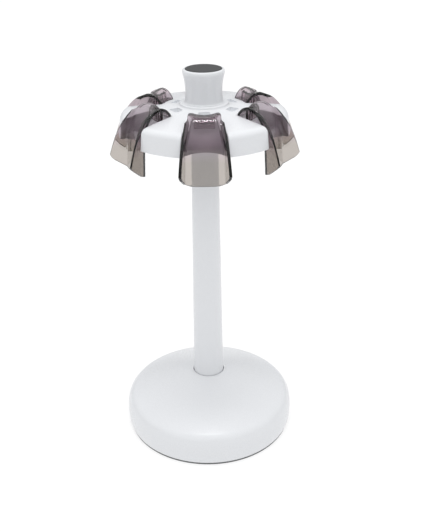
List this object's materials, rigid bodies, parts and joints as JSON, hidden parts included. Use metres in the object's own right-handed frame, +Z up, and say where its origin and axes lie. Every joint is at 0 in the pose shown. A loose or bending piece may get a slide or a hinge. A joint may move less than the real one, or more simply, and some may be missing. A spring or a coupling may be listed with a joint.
{
  "type": "rotating pipette stand",
  "caption": "Free-standing rotating bench stand for pipettes: heavy round base, tapered column, armed hub with six smoked lift-off holders, each an outward-open channel, and a turning knob on top.",
  "frame": {"origin": "centre of the underside, on the surface that the stand rests on", "axes": "+Z up along the column and the carousel's axis, -Y towards the front hood, +X to its right seen from the front"},
  "size_m": [0.1532, 0.1532, 0.33],
  "materials": {
    "white_plastic": "glossy moulded white",
    "grey_insert": "satin dark grey",
    "smoke_plastic": "transparent smoked acrylic, polished",
    "rubber_ring": "soft matt",
    "dark_plate": "fine textured grey",
    "cast_iron": "as cast, black primed",
    "steel": "zinc plated",
    "acetal": "natural white, machined",
    "bronze": "sintered bearing bronze"
  },
  "bodies": {
    "stand": {"foot_ring": "rubber_ring", "bottom_plate": "dark_plate", "base_shell": "white_plastic", "ballast_disc": "cast_iron", "base_screw_1": "steel", "base_screw_2": "steel", "base_screw_3": "steel", "column_tube": "white_plastic", "tie_rod": "steel", "rod_nut_lower": "steel", "rod_nut_upper": "steel", "rod_washer": "steel", "retaining_washer": "steel", "thrust_washer": "acetal", "spindle": "steel"},
    "carousel": {"hub_shell": "white_plastic", "hub_bush": "bronze", "hub_cover": "white_plastic", "cover_screw_1": "steel", "cover_screw_2": "steel", "cover_screw_3": "steel", "knob": "white_plastic", "knob_cap": "grey_insert"},
    "hood_body_1": {"holder_1": "smoke_plastic"},
    "hood_body_2": {"holder_2": "smoke_plastic"},
    "hood_body_3": {"holder_3": "smoke_plastic"},
    "hood_body_4": {"holder_4": "smoke_plastic"},
    "hood_body_5": {"holder_5": "smoke_plastic"},
    "hood_body_6": {"holder_6": "smoke_plastic"}
  },
  "joints": [
    {"name": "carousel_spin", "type": "hinge", "parent": "stand", "child": "carousel", "pos_m": [0, 0, 0.291], "axis": [0, 0, 1], "continuous": true},
    {"name": "holder_1_lift", "type": "slide", "parent": "carousel", "child": "hood_body_1", "axis": [0, 0, 1], "range_m": [0, 0.045]},
    {"name": "holder_2_lift", "type": "slide", "parent": "carousel", "child": "hood_body_2", "axis": [0, 0, 1], "range_m": [0, 0.045]},
    {"name": "holder_3_lift", "type": "slide", "parent": "carousel", "child": "hood_body_3", "axis": [0, 0, 1], "range_m": [0, 0.045]},
    {"name": "holder_4_lift", "type": "slide", "parent": "carousel", "child": "hood_body_4", "axis": [0, 0, 1], "range_m": [0, 0.045]},
    {"name": "holder_5_lift", "type": "slide", "parent": "carousel", "child": "hood_body_5", "axis": [0, 0, 1], "range_m": [0, 0.045]},
    {"name": "holder_6_lift", "type": "slide", "parent": "carousel", "child": "hood_body_6", "axis": [0, 0, 1], "range_m": [0, 0.045]}
  ]
}
